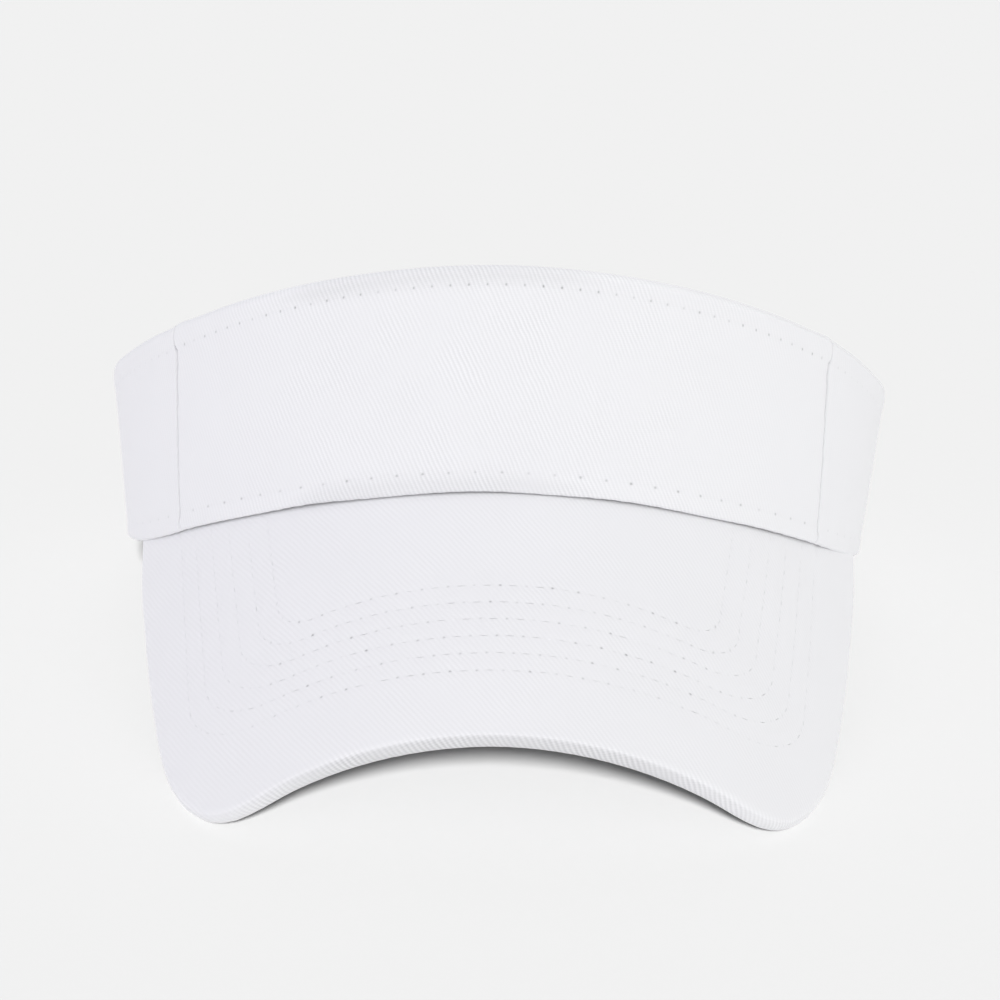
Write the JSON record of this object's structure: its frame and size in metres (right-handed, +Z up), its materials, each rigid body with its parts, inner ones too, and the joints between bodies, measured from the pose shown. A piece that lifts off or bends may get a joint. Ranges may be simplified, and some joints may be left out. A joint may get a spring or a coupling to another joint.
{
  "type": "sun visor",
  "caption": "Open-topped fabric visor: stiffened front band, curved brim with topstitched rows, inner sweatband and a back strap with a hook-and-loop closure.",
  "frame": {"origin": "centre of the bounding box's base, on the surface that the brim's corners and the back strap rest on", "axes": "-Y to the brim and front panel, +Y to the back strap, +Z up, X across the head with the wearer's right at -X"},
  "size_m": [0.178, 0.253, 0.1033],
  "materials": {
    "white_twill": "matte cotton twill with fine diagonal ribs",
    "white_lining": "matte plain-woven cotton",
    "buckram": "stiffened open gauze",
    "terry": "soft looped towelling",
    "label": "blank satin tape",
    "brim_board": "moulded polyethylene sheet",
    "hook_tape": "moulded hooks on a woven tape",
    "loop_tape": "brushed loops on a woven tape",
    "thread": "spun sewing thread"
  },
  "bodies": {
    "crown": {"front_panel": "white_twill", "side_panel_left": "white_twill", "side_panel_right": "white_twill", "front_lining": "white_lining", "side_lining_left": "white_lining", "side_lining_right": "white_lining", "front_buckram": "buckram", "sweatband": "terry", "inner_label": "label", "brim_top_cover": "white_twill", "brim_under_cover": "white_twill", "brim_board": "brim_board", "band_top_thread": "thread", "band_bottom_thread": "thread", "brim_thread_1": "thread", "brim_thread_2": "thread", "brim_thread_3": "thread", "brim_thread_4": "thread", "brim_thread_5": "thread", "brim_thread_6": "thread"},
    "left_strap": {"strap_left": "white_twill", "loop_tape": "loop_tape"},
    "right_strap": {"strap_right": "white_twill"},
    "flap": {"closure_flap": "white_twill", "hook_tape": "hook_tape"}
  },
  "joints": [
    {"name": "left_strap_bend", "type": "hinge", "parent": "crown", "child": "left_strap", "pos_m": [-0.086, 0.02908, 0.03445], "axis": [0, 0.2169, 0.9762], "range_deg": [-7, 22]},
    {"name": "right_strap_bend", "type": "hinge", "parent": "crown", "child": "right_strap", "pos_m": [0.086, 0.02908, 0.03445], "axis": [0, -0.2169, -0.9762], "range_deg": [-7, 22]},
    {"name": "closure_peel", "type": "hinge", "parent": "right_strap", "child": "flap", "pos_m": [0.03511, 0.11609, 0.01511], "axis": [0, -0.2169, -0.9762], "range_deg": [0, 100]}
  ],
  "couplings": [
    {"joint": "right_strap_bend", "follows": "left_strap_bend", "ratio": 1}
  ]
}
